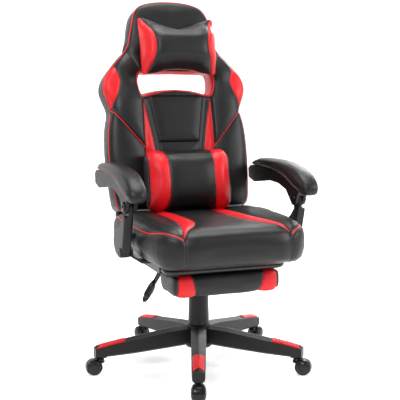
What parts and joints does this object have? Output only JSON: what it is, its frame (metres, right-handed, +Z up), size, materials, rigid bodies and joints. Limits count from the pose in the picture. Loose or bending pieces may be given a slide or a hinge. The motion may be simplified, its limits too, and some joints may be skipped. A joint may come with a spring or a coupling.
{
  "type": "gaming chair",
  "caption": "Black and red reclining gaming chair on a star base with casters, with linked padded armrests, a pull-out footrest, a head pillow and a lumbar pillow.",
  "frame": {"origin": "on the floor below the middle of the chair's box", "axes": "+Z up; the chair faces -Y; +X is to the right of someone looking at its front"},
  "size_m": [0.7062, 0.7346, 1.2022],
  "materials": {
    "black_leather": "fine-grained black artificial leather, soft sheen, stitched seams",
    "red_leather": "fine-grained red artificial leather, soft sheen, stitched seams",
    "base_plastic": "black fibre-filled nylon, lightly textured",
    "black_plastic": "black moulded plastic, satin",
    "wheel_plastic": "black nylon, a little glossy",
    "red_plastic": "red moulded plastic, satin, ribbed",
    "black_steel": "black powder coat, fine texture",
    "bright_steel": "bare steel, turned or drawn",
    "elastic": "black woven elastic"
  },
  "bodies": {
    "base": {"star_base": "base_plastic", "leg_pad_1": "red_plastic", "leg_pad_2": "red_plastic", "leg_pad_3": "red_plastic", "leg_pad_4": "red_plastic", "leg_pad_5": "red_plastic", "gas_column": "black_steel", "cover_lower": "black_plastic"},
    "cover": {"cover_middle": "black_plastic"},
    "spindle": {"piston_rod": "bright_steel"},
    "mechanism": {"gas_cylinder": "black_steel", "cover_upper": "black_plastic", "mechanism_housing": "black_steel", "tension_spring": "bright_steel"},
    "knob": {"tension_knob": "black_plastic"},
    "lift_handle": {"lift_lever": "black_steel", "lift_lever_grip": "black_plastic"},
    "tilt_handle": {"tilt_lever": "black_steel", "tilt_lever_grip": "black_plastic"},
    "seat": {"seat_plate": "black_steel", "seat_cushion": "black_leather", "footrest_rail_left": "black_steel", "footrest_rail_right": "black_steel", "recline_bracket_left": "black_steel", "recline_bracket_right": "black_steel", "arm_bracket_left": "black_steel", "arm_bracket_right": "black_steel"},
    "footrest": {"footrest_frame": "black_steel"},
    "footrest_cushion": {"footrest_pad": "black_leather"},
    "backrest": {"back_frame": "black_steel", "back_cushion": "black_leather", "head_strap": "elastic", "head_pillow": "red_leather"},
    "lumbar": {"lumbar_pillow": "red_leather"},
    "arm_post_left": {"arm_post_left": "black_steel"},
    "arm_left": {"arm_frame_left": "black_plastic", "arm_pad_left": "black_leather"},
    "arm_post_right": {"arm_post_right": "black_steel"},
    "arm_right": {"arm_frame_right": "black_plastic", "arm_pad_right": "black_leather"},
    "caster_1": {"caster_1_hood": "black_plastic", "caster_1_axle": "bright_steel"},
    "caster_1_left": {"caster_1_wheel_left": "wheel_plastic"},
    "caster_1_right": {"caster_1_wheel_right": "wheel_plastic"},
    "caster_2": {"caster_2_hood": "black_plastic", "caster_2_axle": "bright_steel"},
    "caster_2_left": {"caster_2_wheel_left": "wheel_plastic"},
    "caster_2_right": {"caster_2_wheel_right": "wheel_plastic"},
    "caster_3": {"caster_3_hood": "black_plastic", "caster_3_axle": "bright_steel"},
    "caster_3_left": {"caster_3_wheel_left": "wheel_plastic"},
    "caster_3_right": {"caster_3_wheel_right": "wheel_plastic"},
    "caster_4": {"caster_4_hood": "black_plastic", "caster_4_axle": "bright_steel"},
    "caster_4_left": {"caster_4_wheel_left": "wheel_plastic"},
    "caster_4_right": {"caster_4_wheel_right": "wheel_plastic"},
    "caster_5": {"caster_5_hood": "black_plastic", "caster_5_axle": "bright_steel"},
    "caster_5_left": {"caster_5_wheel_left": "wheel_plastic"},
    "caster_5_right": {"caster_5_wheel_right": "wheel_plastic"}
  },
  "joints": [
    {"name": "seat_swivel", "type": "hinge", "parent": "base", "child": "spindle", "pos_m": [0.0269, -0.0051, 0.064], "axis": [0, 0, 1], "continuous": true},
    {"name": "seat_height", "type": "slide", "parent": "spindle", "child": "mechanism", "axis": [0, 0, 1], "range_m": [-0.04, 0.06]},
    {"name": "cover_lift", "type": "slide", "parent": "base", "child": "cover", "axis": [0, 0, 1], "range_m": [-0.02, 0.03]},
    {"name": "tension_turn", "type": "hinge", "parent": "mechanism", "child": "knob", "pos_m": [0.0269, -0.0771, 0.286], "axis": [0, 0, 1], "continuous": true},
    {"name": "lift_lever_hinge", "type": "hinge", "parent": "mechanism", "child": "lift_handle", "pos_m": [-0.0286, -0.0501, 0.352], "axis": [0, 1, 0], "range_deg": [0, 8], "stiffness_Nm_per_rad": 2, "springref_deg": -8.59},
    {"name": "tilt_lever_slide", "type": "slide", "parent": "mechanism", "child": "tilt_handle", "axis": [-1, 0, 0], "range_m": [0, 0.012]},
    {"name": "seat_tilt", "type": "hinge", "parent": "mechanism", "child": "seat", "pos_m": [0.0269, 0.0549, 0.366], "axis": [-1, 0, 0], "range_deg": [0, 12], "stiffness_Nm_per_rad": 60, "springref_deg": -28.65},
    {"name": "footrest_slide", "type": "slide", "parent": "seat", "child": "footrest", "axis": [0, -1, 0], "range_m": [0, 0.25]},
    {"name": "footrest_flip", "type": "hinge", "parent": "footrest", "child": "footrest_cushion", "pos_m": [0.0269, -0.2581, 0.372], "axis": [-1, 0, 0], "range_deg": [0, 180]},
    {"name": "backrest_recline", "type": "hinge", "parent": "seat", "child": "backrest", "pos_m": [0.0269, 0.2139, 0.481], "axis": [-1, 0, 0], "range_deg": [0, 40]},
    {"name": "lumbar_slide", "type": "slide", "parent": "backrest", "child": "lumbar", "axis": [0, 0.2164, 0.9763], "range_m": [0, 0.05]},
    {"name": "arm_post_left_hinge", "type": "hinge", "parent": "seat", "child": "arm_post_left", "pos_m": [-0.2451, -0.1301, 0.416], "axis": [-1, 0, 0], "range_deg": [0, 40]},
    {"name": "arm_left_hinge", "type": "hinge", "parent": "arm_post_left", "child": "arm_left", "pos_m": [-0.2451, -0.1651, 0.561], "axis": [-1, 0, 0], "range_deg": [-40, 0]},
    {"name": "arm_post_right_hinge", "type": "hinge", "parent": "seat", "child": "arm_post_right", "pos_m": [0.2989, -0.1301, 0.416], "axis": [-1, 0, 0], "range_deg": [0, 40]},
    {"name": "arm_right_hinge", "type": "hinge", "parent": "arm_post_right", "child": "arm_right", "pos_m": [0.2989, -0.1651, 0.561], "axis": [-1, 0, 0], "range_deg": [-40, 0]},
    {"name": "caster_1_swivel", "type": "hinge", "parent": "base", "child": "caster_1", "pos_m": [-0.08883, -0.31628, 0.05], "axis": [0, 0, 1], "continuous": true},
    {"name": "caster_1_left_spin", "type": "hinge", "parent": "caster_1", "child": "caster_1_left", "pos_m": [-0.09615, -0.33596, 0.024], "axis": [0.9373, -0.3486, 0], "continuous": true},
    {"name": "caster_1_right_spin", "type": "hinge", "parent": "caster_1", "child": "caster_1_right", "pos_m": [-0.09615, -0.33596, 0.024], "axis": [0.9373, -0.3486, 0], "continuous": true},
    {"name": "caster_2_swivel", "type": "hinge", "parent": "base", "child": "caster_2", "pos_m": [0.28709, -0.21132, 0.05], "axis": [0, 0, 1], "continuous": true},
    {"name": "caster_2_left_spin", "type": "hinge", "parent": "caster_2", "child": "caster_2_left", "pos_m": [0.30354, -0.22437, 0.024], "axis": [0.6211, 0.7837, 0], "continuous": true},
    {"name": "caster_2_right_spin", "type": "hinge", "parent": "caster_2", "child": "caster_2_right", "pos_m": [0.30354, -0.22437, 0.024], "axis": [0.6211, 0.7837, 0], "continuous": true},
    {"name": "caster_3_swivel", "type": "hinge", "parent": "base", "child": "caster_3", "pos_m": [0.30343, 0.17863, 0.05], "axis": [0, 0, 1], "continuous": true},
    {"name": "caster_3_left_spin", "type": "hinge", "parent": "caster_3", "child": "caster_3_left", "pos_m": [0.32092, 0.19025, 0.024], "axis": [-0.5534, 0.8329, 0], "continuous": true},
    {"name": "caster_3_right_spin", "type": "hinge", "parent": "caster_3", "child": "caster_3_right", "pos_m": [0.32092, 0.19025, 0.024], "axis": [-0.5534, 0.8329, 0], "continuous": true},
    {"name": "caster_4_swivel", "type": "hinge", "parent": "base", "child": "caster_4", "pos_m": [-0.06238, 0.31467, 0.05], "axis": [0, 0, 1], "continuous": true},
    {"name": "caster_4_left_spin", "type": "hinge", "parent": "caster_4", "child": "caster_4_left", "pos_m": [-0.06803, 0.3349, 0.024], "axis": [-0.9632, -0.2689, 0], "continuous": true},
    {"name": "caster_4_right_spin", "type": "hinge", "parent": "caster_4", "child": "caster_4_right", "pos_m": [-0.06803, 0.3349, 0.024], "axis": [-0.9632, -0.2689, 0], "continuous": true},
    {"name": "caster_5_swivel", "type": "hinge", "parent": "base", "child": "caster_5", "pos_m": [-0.30481, 0.0088, 0.05], "axis": [0, 0, 1], "continuous": true},
    {"name": "caster_5_left_spin", "type": "hinge", "parent": "caster_5", "child": "caster_5_left", "pos_m": [-0.32579, 0.00968, 0.024], "axis": [-0.0419, -0.9991, 0], "continuous": true},
    {"name": "caster_5_right_spin", "type": "hinge", "parent": "caster_5", "child": "caster_5_right", "pos_m": [-0.32579, 0.00968, 0.024], "axis": [-0.0419, -0.9991, 0], "continuous": true}
  ],
  "couplings": [
    {"joint": "cover_lift", "follows": "seat_height", "ratio": 0.5},
    {"joint": "footrest_flip", "follows": "footrest_slide", "rad_per_m": 12.56},
    {"joint": "arm_post_left_hinge", "follows": "backrest_recline", "ratio": 1},
    {"joint": "arm_left_hinge", "follows": "backrest_recline", "ratio": -1},
    {"joint": "arm_post_right_hinge", "follows": "backrest_recline", "ratio": 1},
    {"joint": "arm_right_hinge", "follows": "backrest_recline", "ratio": -1}
  ]
}
